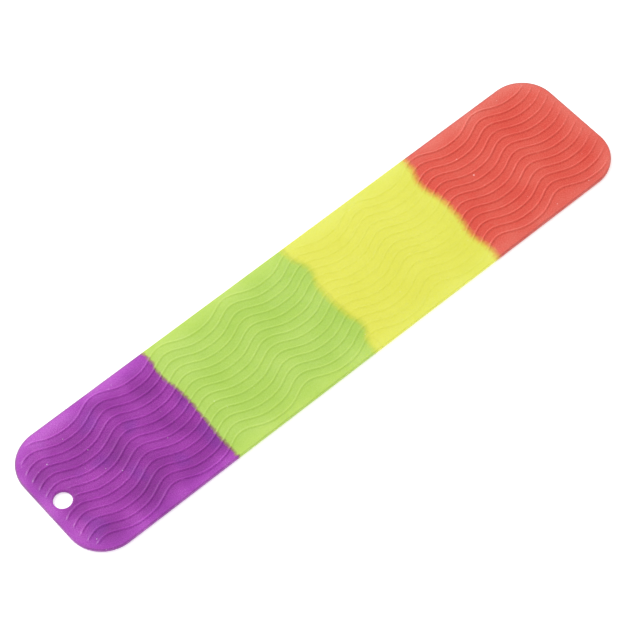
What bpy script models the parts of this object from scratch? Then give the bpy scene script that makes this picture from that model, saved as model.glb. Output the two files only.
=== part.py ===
"""Flexible silicone strip mat in four fused colour sections, with wavy grip ribs and a hanging hole.

Run with: blender --background --python part.py, or from the Text editor.
Units are metres and +Z is up. The origin is the centre of the flat underside. +X runs along the
strip, from the purple end, which has the hole, to the red end.
"""
import math

import bmesh
import bpy

# Outline of the strip
LENGTH = 0.280
WIDTH = 0.062
CORNER_RADIUS = 0.016
CORNER_STEPS = 8
SHEET = 0.0016              # thickness between the ribs

# Distances along the strip, from the purple end
SEAMS = (0.0713, 0.1452, 0.2088)
SEAM_GAP = 0.0003           # clearance between two sections that are fused on the real strip
HOLE_CENTRE = 0.0078

# Hanging hole
HOLE_RADIUS = 0.0040
HOLE_PAD_RADIUS = 0.0055    # plain ring round the hole that the ribs stop at
HOLE_SIDES = 32

# Ribs: round bars sunk in the sheet, so that only a low bead stands proud
RIB_COUNT = 13
RIB_PITCH = 0.0043
RIB_HEIGHT = 0.0004
BAR_RADIUS = 0.0007
RIB_STEP = 0.0042           # spacing of the points along a rib
SEARCH_STEP = 0.0001        # fineness with which a rib's two ends are found

# The wave that every rib follows: narrow crests and wide troughs
WAVE_LENGTH = 0.0340
WAVE_SWING = 0.0023
WAVE_SHARPNESS = 0.00037
FIRST_CREST = 0.0102        # from the purple end

# The ribbed field: a rounded rectangle inside the outline
FIELD_FROM_PURPLE_END = 0.0040
FIELD_FROM_RED_END = 0.0016
FIELD_FROM_SIDE = 0.0022
FIELD_CORNER = 0.0130

CUTTER_MARGIN = 0.005       # how far a cutter runs past what it cuts

SECTIONS = (
    ("purple_section", (0.288, 0.017, 0.322)),
    ("green_section", (0.410, 0.600, 0.104)),
    ("yellow_section", (0.695, 0.700, 0.090)),
    ("red_section", (0.670, 0.085, 0.056)),
)
ROUGHNESS = 0.55


def clear_scene():
    for item in list(bpy.data.objects):
        bpy.data.objects.remove(item, do_unlink=True)


def new_collection(name):
    collection = bpy.data.collections.new(name)
    bpy.context.scene.collection.children.link(collection)
    return collection


def silicone(name, colour):
    material = bpy.data.materials.new(name)
    material.use_nodes = True
    shader = material.node_tree.nodes["Principled BSDF"]
    shader.inputs["Base Color"].default_value = (*colour, 1.0)
    shader.inputs["Roughness"].default_value = ROUGHNESS
    shader.inputs["Metallic"].default_value = 0.0
    return material


def along(distance):
    """X of a place that is the given distance from the purple end."""
    return distance - LENGTH / 2


def wave(x):
    """Sideways offset of a rib at x."""
    turn = 2 * math.pi * (x - along(FIRST_CREST)) / WAVE_LENGTH
    return WAVE_SWING * math.cos(turn) + WAVE_SHARPNESS * math.cos(2 * turn)


def rib_point(rib, x):
    return x, (rib - (RIB_COUNT - 1) / 2) * RIB_PITCH + wave(x)


def in_field(x, y):
    """Whether a point lies in the ribbed field and clear of the plain ring round the hole."""
    low = along(FIELD_FROM_PURPLE_END)
    high = LENGTH / 2 - FIELD_FROM_RED_END
    side = WIDTH / 2 - FIELD_FROM_SIDE
    past_x = max(low + FIELD_CORNER - x, x - high + FIELD_CORNER, 0.0)
    past_y = max(abs(y) - side + FIELD_CORNER, 0.0)
    in_rectangle = math.hypot(past_x, past_y) <= FIELD_CORNER
    return in_rectangle and math.hypot(x - along(HOLE_CENTRE), y) >= HOLE_PAD_RADIUS


def rib_run(rib):
    """The points of one rib, evenly spaced over its longest stretch in the field."""
    count = round(LENGTH / SEARCH_STEP)
    stations = [along(step * SEARCH_STEP) for step in range(count + 1)]
    inside = [x for x in stations if in_field(*rib_point(rib, x))]
    end = inside[-1]
    start = end
    for x in reversed(inside):
        if start - x > 1.5 * SEARCH_STEP:
            break
        start = x
    pieces = max(1, round((end - start) / RIB_STEP))
    return [rib_point(rib, start + (end - start) * step / pieces) for step in range(pieces + 1)]


def rounded_rectangle(length, width, radius):
    """Outline points, counter-clockwise, with the corners as arcs."""
    points = []
    for quarter, (side_x, side_y) in enumerate(((1, 1), (-1, 1), (-1, -1), (1, -1))):
        centre_x = side_x * (length / 2 - radius)
        centre_y = side_y * (width / 2 - radius)
        for step in range(CORNER_STEPS + 1):
            angle = (quarter + step / CORNER_STEPS) * math.pi / 2
            points.append((centre_x + radius * math.cos(angle), centre_y + radius * math.sin(angle)))
    return points


def add_spline(curve, points, cyclic=False):
    spline = curve.splines.new("POLY")
    spline.points.add(len(points) - 1)
    for target, (x, y) in zip(spline.points, points):
        target.co = (x, y, 0.0, 1.0)
    spline.use_cyclic_u = cyclic


def curve_to_mesh(curve, name, collection, height):
    """Turn a curve into a closed mesh object whose places are in its mesh, lifted to a height."""
    holder = bpy.data.objects.new(name + "_curve", curve)
    collection.objects.link(holder)
    bpy.context.view_layer.update()
    evaluated = holder.evaluated_get(bpy.context.evaluated_depsgraph_get())
    mesh = bpy.data.meshes.new_from_object(evaluated)
    mesh.name = name
    bpy.data.objects.remove(holder, do_unlink=True)
    shape = bmesh.new()
    shape.from_mesh(mesh)
    bmesh.ops.remove_doubles(shape, verts=shape.verts[:], dist=0.00001)
    bmesh.ops.translate(shape, verts=shape.verts[:], vec=(0.0, 0.0, height))
    shape.to_mesh(mesh)
    shape.free()
    return mesh


def sheet_mesh(collection):
    """The plain sheet: the outline, filled and as thick as the strip is between its ribs."""
    curve = bpy.data.curves.new("sheet", "CURVE")
    curve.dimensions = "2D"
    curve.fill_mode = "BOTH"
    curve.extrude = SHEET / 2
    add_spline(curve, rounded_rectangle(LENGTH, WIDTH, CORNER_RADIUS), cyclic=True)
    return curve_to_mesh(curve, "sheet", collection, SHEET / 2)


def rib_mesh(collection):
    """Every rib as a round bar, sunk so that its top is a rib's height above the sheet."""
    curve = bpy.data.curves.new("ribs", "CURVE")
    curve.dimensions = "3D"
    curve.twist_mode = "Z_UP"
    curve.bevel_depth = BAR_RADIUS
    curve.bevel_resolution = 2
    curve.use_fill_caps = True
    for rib in range(RIB_COUNT):
        add_spline(curve, rib_run(rib))
    return curve_to_mesh(curve, "ribs", collection, SHEET + RIB_HEIGHT - BAR_RADIUS)


def as_cutter(cutter, collection):
    for owner in list(cutter.users_collection):
        owner.objects.unlink(cutter)
    collection.objects.link(cutter)
    cutter.hide_render = True
    cutter.display_type = "WIRE"
    return cutter


def hole_cutter(collection):
    bpy.ops.mesh.primitive_cylinder_add(
        vertices=HOLE_SIDES, radius=HOLE_RADIUS, depth=2 * CUTTER_MARGIN,
        location=(along(HOLE_CENTRE), 0.0, 0.0))
    bpy.context.object.name = "hole_cutter"
    return as_cutter(bpy.context.object, collection)


def section_cutter(name, start, end, collection):
    """A box that keeps the part of the strip from start to end."""
    bpy.ops.mesh.primitive_cube_add(size=1.0, location=((start + end) / 2, 0.0, 0.0))
    bpy.context.object.name = name + "_cutter"
    bpy.context.object.scale = (end - start, WIDTH + 2 * CUTTER_MARGIN, 2 * CUTTER_MARGIN)
    return as_cutter(bpy.context.object, collection)


def add_boolean(target, operation, other):
    modifier = target.modifiers.new(other.name, "BOOLEAN")
    modifier.operation = operation
    modifier.object = other
    modifier.solver = "EXACT"


def section_limits(index):
    """Start and end of a section in X, each half a gap short of its seam."""
    start = along(SEAMS[index - 1]) + SEAM_GAP / 2 if index > 0 else along(-CUTTER_MARGIN)
    last = index == len(SECTIONS) - 1
    end = along(LENGTH + CUTTER_MARGIN) if last else along(SEAMS[index]) - SEAM_GAP / 2
    return start, end


def build():
    clear_scene()
    parts = new_collection("silicone_strip_mat")
    cutters = new_collection("cutters")
    frame = bpy.data.objects.new("strip_frame", None)
    parts.objects.link(frame)

    sheet = sheet_mesh(parts)
    ribs = as_cutter(bpy.data.objects.new("ribs", rib_mesh(cutters)), cutters)
    hole = hole_cutter(cutters)
    for index, (name, colour) in enumerate(SECTIONS):
        section = bpy.data.objects.new(name, sheet.copy())
        parts.objects.link(section)
        section.parent = frame
        section.data.materials.clear()
        section.data.materials.append(silicone(name.replace("section", "silicone"), colour))
        add_boolean(section, "UNION", ribs)
        add_boolean(section, "INTERSECT", section_cutter(name, *section_limits(index), cutters))
        if index == 0:
            add_boolean(section, "DIFFERENCE", hole)
    bpy.data.meshes.remove(sheet)


build()
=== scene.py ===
"""Looks of a soft silicone strip mat: four colours fused end to end, wavy grip ribs, a hanging hole.

Lengths are metres, +X runs from the purple end to the red end, and +Z is up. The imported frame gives
the strip's box and its seams, and each colour section is modelled as one closed skin around it.
"""
import math
from typing import NamedTuple

import bmesh
import bpy
from bpy.props import FloatProperty, FloatVectorProperty, IntProperty, PointerProperty
from mathutils import Matrix, Vector


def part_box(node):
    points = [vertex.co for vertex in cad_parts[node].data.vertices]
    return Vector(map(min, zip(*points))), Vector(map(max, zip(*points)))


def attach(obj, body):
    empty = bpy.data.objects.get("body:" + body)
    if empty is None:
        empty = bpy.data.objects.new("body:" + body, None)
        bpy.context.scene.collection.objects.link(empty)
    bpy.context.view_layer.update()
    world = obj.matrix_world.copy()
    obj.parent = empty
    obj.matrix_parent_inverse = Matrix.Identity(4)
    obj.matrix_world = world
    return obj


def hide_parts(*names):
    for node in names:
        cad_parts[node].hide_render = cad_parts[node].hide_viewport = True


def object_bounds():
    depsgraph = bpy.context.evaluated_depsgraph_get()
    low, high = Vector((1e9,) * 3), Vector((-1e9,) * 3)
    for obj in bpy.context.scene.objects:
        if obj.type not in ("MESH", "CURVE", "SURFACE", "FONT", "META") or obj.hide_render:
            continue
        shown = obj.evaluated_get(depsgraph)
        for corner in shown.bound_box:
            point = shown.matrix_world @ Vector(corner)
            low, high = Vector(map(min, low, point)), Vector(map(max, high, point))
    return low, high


bl_info = {
    "name": "Silicone Strip Mat",
    "version": (1, 0, 0),
    "blender": (4, 5, 0),
    "location": "3D View > Sidebar > Strip Mat",
    "description": "Models a four-colour silicone strip mat with wavy ribs, and its studio",
    "category": "Object",
}

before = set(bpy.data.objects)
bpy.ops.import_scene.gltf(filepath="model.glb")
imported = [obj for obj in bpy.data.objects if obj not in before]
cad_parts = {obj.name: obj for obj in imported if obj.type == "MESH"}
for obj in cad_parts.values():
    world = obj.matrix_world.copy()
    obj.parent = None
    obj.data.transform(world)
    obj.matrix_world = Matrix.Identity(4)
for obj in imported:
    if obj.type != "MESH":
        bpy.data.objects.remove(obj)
CAD_LOW, CAD_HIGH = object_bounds()

SECTIONS = ("purple_section", "green_section", "yellow_section", "red_section")
SEAM_PLACES = tuple(
    (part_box(before)[1].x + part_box(after)[0].x) / 2 for before, after in zip(SECTIONS, SECTIONS[1:]))
MM = 0.001
TINY = 1e-6
SHARP_ANGLE = math.radians(40)

# How each seam wanders along the strip: (place across the strip, shift along it), in millimetres
SEAM_WANDER = (
    ((-31, -0.5), (-22, -0.7), (-12, -0.1), (5, 0.9), (16, -0.4), (20, -0.4), (26, 0.8), (31, 0.4)),
    ((-31, -3.6), (-24, -2.2), (-17, 1.0), (-12, -0.5), (6, -1.0), (17, 2.2), (23, 0.0), (31, -1.0)),
    ((-31, -1.2), (-25, -0.6), (-16, -1.7), (-7, 0.0), (3, 0.8), (17, -0.8), (25, 1.9), (31, 2.4)),
)
WANDER_RANGE = 10                   # span of the curves that hold the shifts, in millimetres
SEAM_SOFTNESS = (2.2, 5.0, 5.0)     # width of each blend, in millimetres
SEAM_TICK = 0.35 * MM               # how far each rib drags the seam towards the purple end
SEAM_RAGGEDNESS = 2.0 * MM          # how far the seam's edge frays

# Tint in the middle of each blend, where both pigments show
SEAM_STAINS = (
    (0.86, 0.66, 0.62, 1.0),
    (1.0, 0.96, 0.76, 1.0),
    (1.0, 0.96, 0.76, 1.0),
)

# Values for the purple, green, yellow and red silicone
RIM_GREY_AMOUNT = (0.65, 0.12, 0.05, 0.60)         # how far the grey along the outline covers the colour
RIB_FLANK_SHADE = (0.03, 0.065, 0.02, 0.08)   # painted shade: how much deeper the colour is on a rib's unlit flank
SPECK_STRENGTH = (0.40, 0.25, 0.12, 0.40)   # how far a pale speck covers the colour

WHITE = (1.0, 1.0, 1.0, 1.0)
RIM_GREY_COLOUR = (0.16, 0.12, 0.13, 1.0)         # grey that darkens the outline
SPECK_SHADE = (0.95, 0.93, 0.92, 1.0)
HAZE_FLANK_LIGHT = (1.08, 1.08, 1.03, 1.0)         # painted light that brightens the unlit flanks of the haziest ribs


class Finish(NamedTuple):
    """What else differs from one silicone to the next."""

    clouds: float       # strength of the soft clouding
    grain: float        # strength of the fine grain
    scatter: tuple      # how far red, green and blue light travel inside it, in millimetres


FINISHES = {
    "purple_section": Finish(0.15, 0.19, (0.25, 0.1, 0.25)),
    "green_section": Finish(0.055, 0.07, (0.4, 0.4, 0.15)),
    "yellow_section": Finish(0.03, 0.04, (0.4, 0.4, 0.2)),
    "red_section": Finish(0.05, 0.16, (0.25, 0.05, 0.05)),
}


def length(text, value, note):
    return FloatProperty(name=text, default=value, min=0.0, precision=5, unit="LENGTH", description=note)


def colour(text, value, note):
    return FloatVectorProperty(
        name=text, default=value, size=3, min=0.0, max=1.0, subtype="COLOR", description=note)


def haze(text, value):
    return FloatProperty(
        name=text + " Haze", default=value, min=0.0, max=1.0, subtype="FACTOR",
        description="How far light inside the silicone washes out the shading of its ribs")


class StripShape(bpy.types.PropertyGroup):
    """Outline, thickness and hanging hole."""

    corner_radius: length("Corner Radius", 16.0 * MM, "Radius of the four rounded corners")
    sheet: length("Sheet", 1.6 * MM, "Thickness between the ribs")
    top_rounding: length("Top Rounding", 0.42 * MM, "Rounding of the upper edge and the hole's lip")
    base_rounding: length("Base Rounding", 0.16 * MM, "Rounding of the lower edge")
    hole_radius: length("Hole Radius", 3.88 * MM, "Radius of the hanging hole")
    hole_place: length("Hole Place", 7.8 * MM, "From the purple end to the hole's centre")
    hole_pad: length("Hole Pad", 5.5 * MM, "Radius of the plain ring where the ribs stop")


class RibShape(bpy.types.PropertyGroup):
    """The ribs and the wave that they follow."""

    count: IntProperty(name="Ribs", default=13, min=1, description="Number of ribs side by side")
    pitch: length("Pitch", 4.3 * MM, "From one rib to the next")
    height: length("Height", 0.4 * MM, "How far a rib stands above the sheet")
    half_width: length("Half Width", 0.78 * MM, "From a rib's crown to its foot")
    wave_length: length("Wave Length", 34.0 * MM, "Length of one wave")
    swing: length("Swing", 2.3 * MM, "Sideways swing of the wave")
    sharpness: length("Sharpness", 0.37 * MM, "Second harmonic, which narrows the crests")
    first_crest: length("First Crest", 10.2 * MM, "From the purple end to the first crest")
    purple_margin: length("Purple Margin", 3.3 * MM, "Plain border at the purple end")
    red_margin: length("Red Margin", 0.9 * MM, "Plain border at the red end")
    side_margin: length("Side Margin", 1.2 * MM, "Least plain border along the sides")
    field_corner: length("Field Corner", 13.0 * MM, "Corner radius of the ribbed field")
    fade: length("Fade", 2.2 * MM, "Length in which a rib rises out of the sheet")
    red_fade: length("Red Fade", 13.0 * MM, "Length in which the ribs sink towards the red end")


class SiliconeLook(bpy.types.PropertyGroup):
    """Colours and finish of the silicone."""

    purple: colour("Purple", (0.288, 0.017, 0.322), "Purple silicone")
    purple_deep: colour("Purple Deep", (0.215, 0.016, 0.310), "Patches with more blue pigment")
    green: colour("Green", (0.410, 0.600, 0.104), "Light green silicone")
    yellow: colour("Yellow", (0.695, 0.700, 0.090), "Yellow silicone")
    red: colour("Red", (0.670, 0.085, 0.056), "Coral red silicone")
    # The edge colours are painted light: the glow where light seeps in at the edges, painted on as a paler
    # colour.
    purple_edge_glow: colour("Purple Edge", (0.440, 0.066, 0.510), "Purple where light seeps in at an edge")
    green_edge_glow: colour("Green Edge", (0.490, 0.670, 0.128), "Green where light seeps in at an edge")
    yellow_edge_glow: colour("Yellow Edge", (0.720, 0.745, 0.125), "Yellow where light seeps in at an edge")
    red_edge_glow: colour("Red Edge", (0.715, 0.145, 0.110), "Red where light seeps in at an edge")
    glow_reach: length("Glow Reach", 5.4 * MM, "How far in from an edge its paler colour reaches")
    roughness: FloatProperty(
        name="Roughness", default=0.38, min=0.0, max=1.0, subtype="FACTOR", description="Satin finish")
    purple_haze: haze("Purple", 0.0)
    green_haze: haze("Green", 0.87)
    yellow_haze: haze("Yellow", 1.0)
    red_haze: haze("Red", 0.15)


class StudioLook(bpy.types.PropertyGroup):
    """Floor, light and camera."""

    floor: colour("Floor", (0.93, 0.93, 0.93), "Pale floor")
    floor_glow: FloatProperty(
        name="Floor Glow", default=0.35, min=0.0, description="Light from below, as on a light table")
    sky: FloatProperty(name="Sky", default=0.815, min=0.0, description="Strength of the light all round")
    key: FloatProperty(name="Key", default=36.0, min=0.0, unit="POWER", description="Power of the soft box")


class Strip:
    """The strip's outline and relief, worked out from the sidebar's sizes."""

    RIM = 0.6 * MM              # the ribbed grid stops this far inside the outline
    ROWS_PER_PITCH = 20
    ROWS_PAST_LAST_RIB = 0.25   # in pitches, before the rows start to straighten
    CORNER_ROWS = 14
    COLUMN = 0.7 * MM
    EDGE_ROUNDS = 40            # halvings that find where a row meets a rounded end
    RED_END_SHARE = 0.35        # what is left of a rib's height at the red end
    HOLE_LEAD = 0.3             # share of its fade that a rib has already had at the hole's pad

    def __init__(self, scene):
        self.shape = scene.strip_shape
        ribs = scene.strip_ribs
        self.half_length = (CAD_HIGH.x - CAD_LOW.x) / 2
        self.half_width = (CAD_HIGH.y - CAD_LOW.y) / 2
        self.corner = self.shape.corner_radius
        self.sheet = self.shape.sheet
        self.hole = Vector((self.shape.hole_place - self.half_length, 0.0))
        self.hole_pad = self.shape.hole_pad
        self.middle = (ribs.count - 1) / 2
        self.pitch = ribs.pitch
        self.height = ribs.height
        self.rib_half = ribs.half_width
        self.turn = 2 * math.pi / ribs.wave_length
        self.swing = ribs.swing
        self.sharpness = ribs.sharpness
        self.first_crest = ribs.first_crest - self.half_length
        self.field_low = -self.half_length + ribs.purple_margin
        self.field_high = self.half_length - ribs.red_margin
        self.field_side = self.half_width - ribs.side_margin
        self.field_corner = ribs.field_corner
        self.fade = ribs.fade
        self.red_fade = ribs.red_fade
        self.rows = self.row_places()

    def row_places(self):
        """Places of the grid's rows across the strip: even over the ribs, by arc near the sides."""
        reach = round((self.middle + self.ROWS_PAST_LAST_RIB) * self.ROWS_PER_PITCH)
        inner = [step * self.pitch / self.ROWS_PER_PITCH for step in range(-reach, reach + 1)]
        start = math.asin((inner[-1] - self.half_width + self.corner) / (self.corner - self.RIM))
        outer = []
        for step in range(1, self.CORNER_ROWS + 1):
            angle = start + (math.pi / 2 - start) * step / self.CORNER_ROWS
            outer.append(self.half_width - self.corner + (self.corner - self.RIM) * math.sin(angle))
        self.inner_side, self.outer_side = inner[-1], outer[-1]
        return [-place for place in reversed(outer)] + inner + outer

    def wave(self, x):
        turn = self.turn * (x - self.first_crest)
        return self.swing * math.cos(turn) + self.sharpness * math.cos(2 * turn)

    def slope(self, x):
        turn = self.turn * (x - self.first_crest)
        return -self.turn * (self.swing * math.sin(turn) + 2 * self.sharpness * math.sin(2 * turn))

    def row_y(self, place, x):
        """A row follows the wave over the ribs and straightens towards the sides."""
        spare = (self.outer_side - abs(place)) / (self.outer_side - self.inner_side)
        return place + self.wave(x) * max(0.0, min(1.0, spare))

    def end_edge(self, side, place):
        """X at which a row meets the rim of a rounded end; side is -1 or 1."""
        x = side * self.half_length
        straight = self.half_width - self.corner
        reach = self.corner - self.RIM
        for _ in range(self.EDGE_ROUNDS):
            past = min(max(abs(self.row_y(place, x)) - straight, 0.0), reach)
            target = side * (self.half_length - self.corner + math.sqrt(reach ** 2 - past ** 2))
            x = (x + target) / 2
        return x

    def relief(self, x, y):
        """Height of the ribs above the sheet."""
        across = y - self.wave(x)
        rib = max(-self.middle, min(self.middle, round(across / self.pitch + self.middle) - self.middle))
        off = abs(across - rib * self.pitch) / math.hypot(1.0, self.slope(x))
        if off >= self.rib_half:
            return 0.0
        bead = self.height * (1 + math.cos(math.pi * off / self.rib_half)) / 2
        past_x = max(self.field_low + self.field_corner - x, x - self.field_high + self.field_corner, 0.0)
        past_y = max(abs(y) - self.field_side + self.field_corner, 0.0)
        depth = self.field_corner - math.hypot(past_x, past_y)
        clear = math.hypot(x - self.hole.x, y - self.hole.y) - self.hole_pad
        sink = self.RED_END_SHARE + (1 - self.RED_END_SHARE) * smooth((self.field_high - x) / self.red_fade)
        return bead * smooth(depth / self.fade) * smooth(clear / self.fade + self.HOLE_LEAD) * sink

    def rim_place(self, point, inset, height):
        """The place of a rim point that is moved to an inset from the outline and a height."""
        centre = Vector((
            max(self.corner - self.half_length, min(self.half_length - self.corner, point.x)),
            max(self.corner - self.half_width, min(self.half_width - self.corner, point.y))))
        away = (point.xy - centre).normalized() * (self.corner - inset)
        return (centre.x + away.x, centre.y + away.y, height)

    def hole_rim_place(self, point, inset, height):
        away = (point.xy - self.hole).normalized() * (self.shape.hole_radius + inset)
        return (self.hole.x + away.x, self.hole.y + away.y, height)


def smooth(value):
    """Smooth step from 0 to 1."""
    value = max(0.0, min(1.0, value))
    return value * value * (3 - 2 * value)


def edge_profile(strip, steps=5, ring=0.4 * MM):
    """(inset, height) down a wall with rounded edges, and onto the underside."""
    top, base = strip.shape.top_rounding, strip.shape.base_rounding
    profile = []
    for step in range(steps + 1):
        angle = math.pi / 2 * step / steps
        profile.append((top * (1 - math.sin(angle)), strip.sheet - top * (1 - math.cos(angle))))
    for step in range(steps + 1):
        angle = math.pi / 2 * step / steps
        profile.append((base * (1 - math.cos(angle)), base * (1 - math.sin(angle))))
    return profile + [(base + ring, 0.0)]


def sweep(mesh, edges, profile, place):
    """Extrude a chain of edges down a profile."""
    for inset, height in profile:
        made = bmesh.ops.extrude_edge_only(mesh, edges=edges)["geom"]
        points = {item for item in made if isinstance(item, bmesh.types.BMVert)}
        for point in points:
            point.co = place(point.co, inset, height)
        edges = [item for item in made
                 if isinstance(item, bmesh.types.BMEdge) and set(item.verts) <= points]


def ribbed_top(strip, start, end):
    """The ribbed upper face as a grid whose rows run along the ribs. A limit of None is a rounded end."""
    reach = (end or strip.half_length) - (start or -strip.half_length)
    columns = round(reach / strip.COLUMN)
    rows = len(strip.rows) - 1
    mesh = bmesh.new()
    bmesh.ops.create_grid(mesh, x_segments=columns, y_segments=rows, size=0.5)
    limits = []
    for place in strip.rows:
        low = strip.end_edge(-1, place) if start is None else start
        high = strip.end_edge(1, place) if end is None else end
        limits.append((low, high))
    for point in mesh.verts:
        row = round((point.co.y + 0.5) * rows)
        low, high = limits[row]
        x = low + (high - low) * (point.co.x + 0.5)
        y = strip.row_y(strip.rows[row], x)
        point.co = (x, y, strip.sheet + strip.relief(x, y))
    return mesh


def even_out(edges, rounds=6):
    """Smooth a closed chain of edges, so that its points follow one another round the hole."""
    chain = set(edges)
    points = {point for edge in edges for point in edge.verts}
    beside = {}
    for point in points:
        beside[point] = [edge.other_vert(point) for edge in point.link_edges if edge in chain]
    for _ in range(rounds):
        places = {}
        for point, (before, after) in beside.items():
            places[point] = (2 * point.co + before.co + after.co) / 4
        for point, place in places.items():
            point.co = place


def open_hole(strip, mesh, profile):
    """Cut the hanging hole through the plain pad and line it with a rounded wall."""
    inset = strip.RIM + strip.shape.top_rounding
    ring = strip.shape.hole_radius + inset
    inside = [face for face in mesh.faces if (face.calc_center_median().xy - strip.hole).length < ring]
    bmesh.ops.delete(mesh, geom=inside, context="FACES")
    edges = [edge for edge in mesh.edges if edge.is_boundary
             and all((point.co.xy - strip.hole).length < ring + 2 * strip.COLUMN for point in edge.verts)]
    even_out(edges)
    for point in {point for edge in edges for point in edge.verts}:
        point.co = strip.hole_rim_place(point.co, inset, strip.sheet)
    sweep(mesh, edges, profile, strip.hole_rim_place)


def close_seam(mesh, x, facing):
    """Wall off a section in the plane of a seam."""
    edges = [edge for edge in mesh.edges
             if edge.is_boundary and all(abs(point.co.x - x) < TINY for point in edge.verts)]
    known = set(edges)
    ends = [point for point in {point for edge in edges for point in edge.verts}
            if sum(edge in known for edge in point.link_edges) == 1]
    edges.append(mesh.edges.new(ends))
    bmesh.ops.triangle_fill(mesh, use_beauty=True, edges=edges, normal=(facing, 0.0, 0.0))


def section_skin(context, name, start, end, with_hole=False):
    """One colour section as a closed skin, in place of its plain solid."""
    strip = Strip(context.scene)
    mesh = ribbed_top(strip, start, end)
    profile = edge_profile(strip)
    at_seam = {value for value in (start, end) if value is not None}
    rim = [edge for edge in mesh.edges if edge.is_boundary
           and not any(all(abs(point.co.x - x) < TINY for point in edge.verts) for x in at_seam)]
    sweep(mesh, rim, profile, strip.rim_place)
    if with_hole:
        open_hole(strip, mesh, profile)
    for x, facing in ((start, -1), (end, 1)):
        if x is not None:
            close_seam(mesh, x, facing)
    base = [edge for edge in mesh.edges if edge.is_boundary]
    bmesh.ops.triangle_fill(mesh, use_beauty=True, edges=base, normal=(0.0, 0.0, -1.0))
    bmesh.ops.recalc_face_normals(mesh, faces=mesh.faces[:])

    skin = bpy.data.meshes.new(name + "_skin")
    mesh.to_mesh(skin)
    mesh.free()
    skin.shade_smooth()
    skin.set_sharp_from_angle(angle=SHARP_ANGLE)
    skin.materials.append(silicone(name, strip, context.scene.strip_look))
    piece = bpy.data.objects.new(name + "_skin", skin)
    context.scene.collection.objects.link(piece)
    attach(piece, "root")
    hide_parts(name)
    return piece


class Tree:
    """Short calls for building a shader tree."""

    def __init__(self, material):
        material.use_nodes = True
        self.tree = material.node_tree
        self.shader = self.tree.nodes["Principled BSDF"]

    def add(self, kind, inputs=(), **settings):
        node = self.tree.nodes.new(kind)
        for name, value in settings.items():
            setattr(node, name, value)
        for key, value in dict(inputs).items():
            self.feed(node.inputs[key], value)
        return node

    def feed(self, socket, value):
        if isinstance(value, bpy.types.NodeSocket):
            self.tree.links.new(value, socket)
        else:
            socket.default_value = value

    def math(self, operation, first, second=0.0, clamp=False):
        node = self.add("ShaderNodeMath", {0: first, 1: second}, operation=operation, use_clamp=clamp)
        return node.outputs[0]

    def remap(self, value, low, high, to_low=0.0, to_high=1.0, kind="SMOOTHSTEP"):
        inputs = {"Value": value, "From Min": low, "From Max": high, "To Min": to_low, "To Max": to_high}
        return self.add("ShaderNodeMapRange", inputs, interpolation_type=kind).outputs[0]

    def mix(self, factor, first, second):
        node = self.add("ShaderNodeMix", data_type="RGBA")
        for socket, value in zip((node.inputs[0], node.inputs[6], node.inputs[7]), (factor, first, second)):
            self.feed(socket, value)
        return node.outputs[2]

    def parts(self, vector):
        return self.add("ShaderNodeSeparateXYZ", {"Vector": vector}).outputs

    def multiply(self, first, second):
        inputs = {0: first, 1: second}
        return self.add("ShaderNodeVectorMath", inputs, operation="MULTIPLY").outputs[0]

    def noise(self, place, size, detail=2.0):
        """Noise from 0 to 1 with spots of a size in metres."""
        inputs = {"Vector": place, "Scale": 1 / size, "Detail": detail, "Roughness": 0.5}
        return self.add("ShaderNodeTexNoise", inputs).outputs["Fac"]


def edge_distance(tree, strip, x, y):
    """Distance from the outline, a rounded rectangle."""
    past_x = tree.math("SUBTRACT", tree.math("ABSOLUTE", x), strip.half_length - strip.corner)
    past_y = tree.math("SUBTRACT", tree.math("ABSOLUTE", y), strip.half_width - strip.corner)
    out_x = tree.math("MAXIMUM", past_x)
    out_y = tree.math("MAXIMUM", past_y)
    squares = tree.math("ADD", tree.math("MULTIPLY", out_x, out_x), tree.math("MULTIPLY", out_y, out_y))
    within = tree.math("MINIMUM", tree.math("MAXIMUM", past_x, past_y), 0.0)
    signed = tree.math("ADD", tree.math("SQRT", squares), within)
    return tree.math("SUBTRACT", strip.corner, signed)


def seam_blend(tree, strip, index, x, y, ragged):
    """0 before a seam and 1 past it, with the seam's wander, its ragged edge and a tick at each rib."""
    seam = SEAM_PLACES[index]
    curve = tree.add("ShaderNodeFloatCurve", {"Value": tree.math("ADD", tree.math(
        "DIVIDE", y, 2 * strip.half_width), 0.5)})
    points = curve.mapping.curves[0].points
    spots = [(across * MM / (2 * strip.half_width) + 0.5, shift / WANDER_RANGE + 0.5)
             for across, shift in SEAM_WANDER[index]]
    while len(points) < len(spots):
        points.new(0.5, 0.5)
    for point, spot in zip(points, spots):
        point.location = spot
    curve.mapping.update()
    wander = tree.math("MULTIPLY", tree.math("SUBTRACT", curve.outputs[0], 0.5), WANDER_RANGE * MM)
    phase = tree.math("DIVIDE", tree.math("SUBTRACT", y, strip.wave(seam)), strip.pitch / (2 * math.pi))
    tick = tree.math("POWER", tree.math("MAXIMUM", tree.math("COSINE", phase)), 4.0)
    shift = tree.math("ADD", wander, tree.math("MULTIPLY", tick, -SEAM_TICK))
    shift = tree.math("ADD", shift, tree.math("MULTIPLY", ragged, SEAM_RAGGEDNESS))
    past = tree.math("SUBTRACT", tree.math("SUBTRACT", x, seam), shift)
    half = SEAM_SOFTNESS[index] * MM / 2
    return tree.remap(past, -half, half)


def opaque(shade):
    return (*shade, 1.0)


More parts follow.
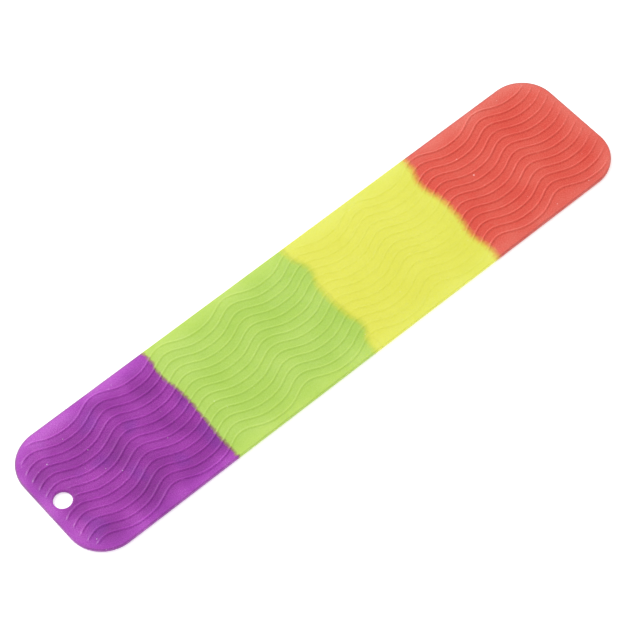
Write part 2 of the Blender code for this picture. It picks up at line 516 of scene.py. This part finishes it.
class SiliconeTree(Tree):
    """The shader of one silicone, with its neighbours' colours past the seams."""

    RAGGED_SIZE = 1.1 * MM
    PATCH_SIZE = 15 * MM
    PATCH_EDGE = (0.53, 0.70)           # noise values where a bluer patch starts and is full
    PATCH_STRENGTH = 0.6
    PAINTED_GLOW_BY_SIDE = (0.72, 1.0)          # share of the painted edge glow at the -Y side and at the +Y side, stronger towards the key light
    RIM_GREY_BY_SIDE = (0.3, 1.0)
    PAINTED_DEPTH_BY_SIDE = (1.02, 0.98)        # painted light and shade: colour depth as a gamma, deeper on the -Y side and paler on the +Y side, towards the key light
    RIM_GREY_REACH = (0.1 * MM, 0.9 * MM)   # the grey is full up to the first, and gone at the second
    CREST_PAINTED_LIGHT = (-0.35, 0.15)      # painted light on a rib's crest at the purple end, where it is painted shade, and elsewhere, where it is a painted highlight
    CREST_PLACES = (2 * MM, 12 * MM)    # where it changes, from the purple end
    FLANK = 0.6                         # a steep flank's normal, across the strip
    HAZE_START = 0.80                   # haze at which the painted light on the unlit flanks starts
    FLECK_SIZE, FLECK = 0.9 * MM, 0.03  # marks that every silicone has, in between
    CLOUD_SIZE = 22 * MM
    GRAIN_SIZE = 0.4 * MM
    SPECK_SPACING = 5.5 * MM
    SPECK_ODDS = (0.74, 0.97)           # random values of the smallest and the largest speck
    SPECK_RADIUS = 0.07                 # of the largest speck, in spacings
    FACING_UP = 0.6                     # specks show where the normal's Z is above this
    HAZY_SLOPE = (0.60, 0.78)           # normal's Z between a wall, which keeps its shading, and a rib
    PORE_SIZE, PORE_DEPTH = 0.28 * MM, 0.012 * MM
    SWELL_SIZE, SWELL_DEPTH = 2.5 * MM, 0.03 * MM
    ROUGHNESS_SPREAD = (-0.05, 0.06)
    IOR = 1.41
    SUBSURFACE = 0.7

    def __init__(self, material, strip, look, finish):
        super().__init__(material)
        self.strip = strip
        self.look = look
        self.finish = finish
        self.place = self.add("ShaderNodeTexCoord").outputs["Object"]
        self.x, self.y, self.z = self.parts(self.place)
        self.normal = self.add("ShaderNodeNewGeometry").outputs["Normal"]
        _, self.lean_y, self.lean_z = self.parts(self.normal)
        ragged = self.math("SUBTRACT", self.noise(self.place, self.RAGGED_SIZE, 3.0), 0.5)
        self.blends = [seam_blend(self, strip, index, self.x, self.y, ragged)
                       for index in range(len(SEAM_PLACES))]
        self.hazy = self.values_along_strip((
            look.purple_haze, look.green_haze, look.yellow_haze, look.red_haze))

    def along_strip(self, shades):
        """One shade for each section, blended at the seams."""
        result = shades[0]
        for blend, shade in zip(self.blends, shades[1:]):
            result = self.mix(blend, result, shade)
        return result

    def values_along_strip(self, values):
        return self.along_strip([(value, value, value, 1.0) for value in values])

    def by_side(self, ends):
        """A value that changes evenly from the -Y side to the +Y side."""
        return self.remap(self.y, -self.strip.half_width, self.strip.half_width, *ends, "LINEAR")

    def scattered(self, size, strength):
        """Soft random spots of a size, between plus and minus a strength."""
        return self.remap(self.noise(self.place, size, 1.0), 0.3, 0.7, -strength, strength, "LINEAR")

    def colour_with_painted_glow(self):
        """The colours along the strip: painted light makes them paler towards the outline and on most rib
        crests, painted shade darkens the crests at the purple end, and a thin grey lies along the outline.
        """
        look, strip = self.look, self.strip
        patches = self.remap(
            self.noise(self.place, self.PATCH_SIZE), *self.PATCH_EDGE, 0.0, self.PATCH_STRENGTH)
        purple = self.mix(patches, opaque(look.purple), opaque(look.purple_deep))
        body = self.along_strip([purple, opaque(look.green), opaque(look.yellow), opaque(look.red)])
        edge = self.along_strip([opaque(shade) for shade in (
            look.purple_edge_glow, look.green_edge_glow, look.yellow_edge_glow, look.red_edge_glow)])

        # Painted light: a paler glow towards the outline, stronger on the +Y side, towards the key light.
        inward = edge_distance(self, strip, self.x, self.y)
        reaches = self.math("DIVIDE", inward, look.glow_reach)
        glow = self.math("EXPONENT", self.math("MULTIPLY", self.math("MULTIPLY", reaches, reaches), -1.0))
        # Painted light on the rib crests: a painted highlight, turned into painted shade near the purple
        # end.
        crest = self.remap(self.z, strip.sheet, strip.sheet + strip.height, kind="LINEAR")
        places = [place - strip.half_length for place in self.CREST_PLACES]
        crest = self.math("MULTIPLY", crest, self.remap(self.x, *places, *self.CREST_PAINTED_LIGHT))
        pale = self.math(
            "ADD", self.math("MULTIPLY", glow, self.by_side(self.PAINTED_GLOW_BY_SIDE)), crest, clamp=True)

        # A thin grey darkening along the outline, strongest on the +Y side.
        rim_grey = self.math(
            "MULTIPLY", self.values_along_strip(RIM_GREY_AMOUNT), self.by_side(self.RIM_GREY_BY_SIDE))
        rim_grey = self.math("MULTIPLY", self.remap(inward, *self.RIM_GREY_REACH, 1.0, 0.0), rim_grey)
        return self.mix(rim_grey, self.mix(pale, body, edge), RIM_GREY_COLOUR)

    def stained(self, colour_so_far):
        """Darker or warmer in the middle of each seam's blend."""
        for blend, tint in zip(self.blends, SEAM_STAINS):
            both = self.math("MULTIPLY", blend, self.math("SUBTRACT", 1.0, blend))
            stain = self.mix(self.math("MULTIPLY", both, 4.0), WHITE, tint)
            colour_so_far = self.multiply(colour_so_far, stain)
        return colour_so_far

    def marbled_with_painted_shade(self, colour_so_far):
        """Clouded and grained; painted shade deepens the unlit flanks of the ribs and the -Y side, and
        painted light pales the lit flanks, the +Y side and the unlit flanks of the haziest ribs.
        """
        # Painted light and shade: the colour is deeper on the -Y side and paler on the +Y side.
        depth = self.by_side(self.PAINTED_DEPTH_BY_SIDE)
        # Painted shade: deeper colour on rib flanks facing -Y, away from the key light, and paler on those
        # facing +Y.
        flank = self.remap(self.lean_y, -self.FLANK, self.FLANK, 1.0, -1.0, "LINEAR")
        flank_shade = self.math("MULTIPLY", flank, self.values_along_strip(RIB_FLANK_SHADE))
        depth = self.math("ADD", depth, flank_shade)
        marks = (
            (self.CLOUD_SIZE, self.finish.clouds),
            (self.CLOUD_SIZE / 2, self.finish.clouds / 2),
            (self.FLECK_SIZE, self.FLECK),
            (self.GRAIN_SIZE, self.finish.grain),
        )
        for size, strength in marks:
            depth = self.math("ADD", depth, self.scattered(size, strength))
        marbled_with_painted_shade = self.add("ShaderNodeGamma", {"Color": colour_so_far, "Gamma": depth}).outputs[0]
        # Painted light: the unlit flanks of the haziest ribs are brightened.
        unlit = self.remap(self.lean_y, -self.FLANK, 0.0, 1.0, 0.0, "LINEAR")
        flank_light = self.math("MULTIPLY", self.remap(self.hazy, self.HAZE_START, 1.0), unlit)
        return self.multiply(marbled_with_painted_shade, self.mix(flank_light, WHITE, HAZE_FLANK_LIGHT))

    def specked(self, colour_so_far):
        """With a few pale specks on the upper face."""
        cells = self.add(
            "ShaderNodeTexVoronoi", {"Vector": self.place, "Scale": 1 / self.SPECK_SPACING},
            voronoi_dimensions="2D").outputs
        radius = self.remap(cells["Color"], *self.SPECK_ODDS, 0.0, self.SPECK_RADIUS, "LINEAR")
        speck = self.math("LESS_THAN", cells["Distance"], radius)
        speck = self.math("MULTIPLY", speck, self.math("GREATER_THAN", self.lean_z, self.FACING_UP))
        speck = self.math("MULTIPLY", speck, self.values_along_strip(SPECK_STRENGTH))
        return self.mix(speck, colour_so_far, SPECK_SHADE)

    def normal_through_haze(self):
        """The surface's normal, leant back towards straight up on the ribs by the haze."""
        lean = self.math("MULTIPLY", self.remap(self.lean_z, *self.HAZY_SLOPE), self.hazy)
        flat = self.add("ShaderNodeMix", {0: lean}, data_type="VECTOR")
        self.feed(flat.inputs[4], self.normal)
        self.feed(flat.inputs[5], (0.0, 0.0, 1.0))
        return self.add("ShaderNodeVectorMath", {0: flat.outputs[1]}, operation="NORMALIZE").outputs[0]

    def surface(self):
        """Satin, with fine pores and soft swells."""
        pores = self.noise(self.place, self.PORE_SIZE)
        swells = self.noise(self.place, self.SWELL_SIZE)
        roughness = [self.look.roughness + change for change in self.ROUGHNESS_SPREAD]
        self.feed(self.shader.inputs["Roughness"], self.remap(swells, 0.3, 0.7, *roughness, "LINEAR"))
        relief = self.math("ADD", self.math("MULTIPLY", pores, self.PORE_DEPTH),
                           self.math("MULTIPLY", swells, self.SWELL_DEPTH))
        bump = self.add("ShaderNodeBump", {
            "Strength": 1.0, "Distance": 1.0, "Height": relief, "Normal": self.normal_through_haze()})
        self.feed(self.shader.inputs["Normal"], bump.outputs[0])

        self.shader.inputs["IOR"].default_value = self.IOR
        self.shader.inputs["Subsurface Weight"].default_value = self.SUBSURFACE
        self.shader.inputs["Subsurface Scale"].default_value = MM
        self.shader.inputs["Subsurface Radius"].default_value = self.finish.scatter


def silicone(section, strip, look):
    """Satin silicone for one section."""
    material = bpy.data.materials.new(section.replace("section", "silicone"))
    tree = SiliconeTree(material, strip, look, FINISHES[section])
    colour_so_far = tree.marbled_with_painted_shade(tree.stained(tree.colour_with_painted_glow()))
    tree.feed(tree.shader.inputs["Base Color"], tree.specked(colour_so_far))
    tree.surface()
    return material


class STRIPMAT_OT_hanging_end(bpy.types.Operator):
    """Model the purple end section with its hanging hole."""

    bl_idname = "stripmat.hanging_end"
    bl_label = "Purple End with Hanging Hole"

    def execute(self, context):
        section_skin(context, "purple_section", None, SEAM_PLACES[0], with_hole=True)
        return {"FINISHED"}


class STRIPMAT_OT_middle_sections(bpy.types.Operator):
    """Model the green and the yellow section."""

    bl_idname = "stripmat.middle_sections"
    bl_label = "Green and Yellow Sections"

    def execute(self, context):
        section_skin(context, "green_section", SEAM_PLACES[0], SEAM_PLACES[1])
        section_skin(context, "yellow_section", SEAM_PLACES[1], SEAM_PLACES[2])
        return {"FINISHED"}


class STRIPMAT_OT_plain_end(bpy.types.Operator):
    """Model the red end section."""

    bl_idname = "stripmat.plain_end"
    bl_label = "Red End"

    def execute(self, context):
        section_skin(context, "red_section", SEAM_PLACES[2], None)
        return {"FINISHED"}


class STRIPMAT_OT_studio(bpy.types.Operator):
    """Add the pale floor, the soft light and the camera."""

    bl_idname = "stripmat.studio"
    bl_label = "Floor, Light and Camera"

    FLOOR_SIZE = 6.0
    FLOOR_DROP = 0.05 * MM      # the floor lies this far below the strip
    SENSOR = 36.0
    AIM = Vector((-5.4 * MM, -3.2 * MM, 1.6 * MM))
    DISTANCE = 1.0567
    AZIMUTH = math.radians(-37.38)
    ELEVATION = math.radians(58.51)
    ROLL = math.radians(-3.93)
    LENS = 149.86
    KEY_PLACE = Vector((-0.4, 1.75, 1.8))
    KEY_SIZE = 0.9

    def execute(self, context):
        studio = context.scene.strip_studio
        self.add_floor(context, studio)
        self.add_light(context, studio)
        self.add_camera(context)
        context.scene.view_settings.view_transform = "Standard"
        return {"FINISHED"}

    def add_floor(self, context, studio):
        mesh = bmesh.new()
        bmesh.ops.create_grid(mesh, x_segments=1, y_segments=1, size=self.FLOOR_SIZE / 2)
        bmesh.ops.translate(mesh, verts=mesh.verts[:], vec=(0.0, 0.0, -self.FLOOR_DROP))
        sheet = bpy.data.meshes.new("floor")
        mesh.to_mesh(sheet)
        mesh.free()
        material = bpy.data.materials.new("pale_floor")
        tree = Tree(material)
        tree.shader.inputs["Base Color"].default_value = (*studio.floor, 1.0)
        tree.shader.inputs["Roughness"].default_value = 0.9
        tree.shader.inputs["Specular IOR Level"].default_value = 0.1
        tree.shader.inputs["Emission Color"].default_value = WHITE
        tree.shader.inputs["Emission Strength"].default_value = studio.floor_glow
        sheet.materials.append(material)
        floor = bpy.data.objects.new("floor", sheet)
        context.scene.collection.objects.link(floor)

    def add_light(self, context, studio):
        world = bpy.data.worlds.new("studio")
        world.use_nodes = True
        sky = world.node_tree.nodes["Background"]
        sky.inputs["Color"].default_value = WHITE
        sky.inputs["Strength"].default_value = studio.sky
        context.scene.world = world
        lamp = bpy.data.lights.new("key", "AREA")
        lamp.shape = "DISK"
        lamp.size = self.KEY_SIZE
        lamp.energy = studio.key
        key = bpy.data.objects.new("key", lamp)
        key.location = self.KEY_PLACE
        key.rotation_mode = "QUATERNION"
        key.rotation_quaternion = (-self.KEY_PLACE).to_track_quat("-Z", "Y")
        context.scene.collection.objects.link(key)

    def add_camera(self, context):
        lens = bpy.data.cameras.new("camera")
        lens.lens = self.LENS
        lens.sensor_width = self.SENSOR
        camera = bpy.data.objects.new("camera", lens)
        turn = (Matrix.Rotation(self.AZIMUTH, 4, "Z") @ Matrix.Rotation(math.pi / 2 - self.ELEVATION, 4, "X")
                @ Matrix.Rotation(self.ROLL, 4, "Z"))
        camera.matrix_world = Matrix.Translation(self.AIM) @ turn @ Matrix.Translation(
            (0.0, 0.0, self.DISTANCE))
        context.scene.collection.objects.link(camera)
        context.scene.camera = camera


class STRIPMAT_PT_panel(bpy.types.Panel):
    """Sizes, colours and pieces of the strip mat."""

    bl_idname = "STRIPMAT_PT_panel"
    bl_label = "Strip Mat"
    bl_space_type = "VIEW_3D"
    bl_region_type = "UI"
    bl_category = "Strip Mat"

    def draw(self, context):
        for operator in OPERATORS:
            self.layout.operator(operator.bl_idname)
        for group in GROUPS:
            box = self.layout.box()
            for key in GROUPS[group].__annotations__:
                box.prop(getattr(context.scene, group), key)


GROUPS = {
    "strip_shape": StripShape,
    "strip_ribs": RibShape,
    "strip_look": SiliconeLook,
    "strip_studio": StudioLook,
}
OPERATORS = (
    STRIPMAT_OT_hanging_end,
    STRIPMAT_OT_middle_sections,
    STRIPMAT_OT_plain_end,
    STRIPMAT_OT_studio,
)


def register():
    for item in (*GROUPS.values(), *OPERATORS, STRIPMAT_PT_panel):
        bpy.utils.register_class(item)
    for name, group in GROUPS.items():
        setattr(bpy.types.Scene, name, PointerProperty(type=group))


def unregister():
    for name in GROUPS:
        delattr(bpy.types.Scene, name)
    for item in reversed((*GROUPS.values(), *OPERATORS, STRIPMAT_PT_panel)):
        bpy.utils.unregister_class(item)


def main():
    register()
    bpy.ops.stripmat.hanging_end()
    bpy.ops.stripmat.middle_sections()
    bpy.ops.stripmat.plain_end()
    bpy.ops.stripmat.studio()


if __name__ == "__main__":
    main()
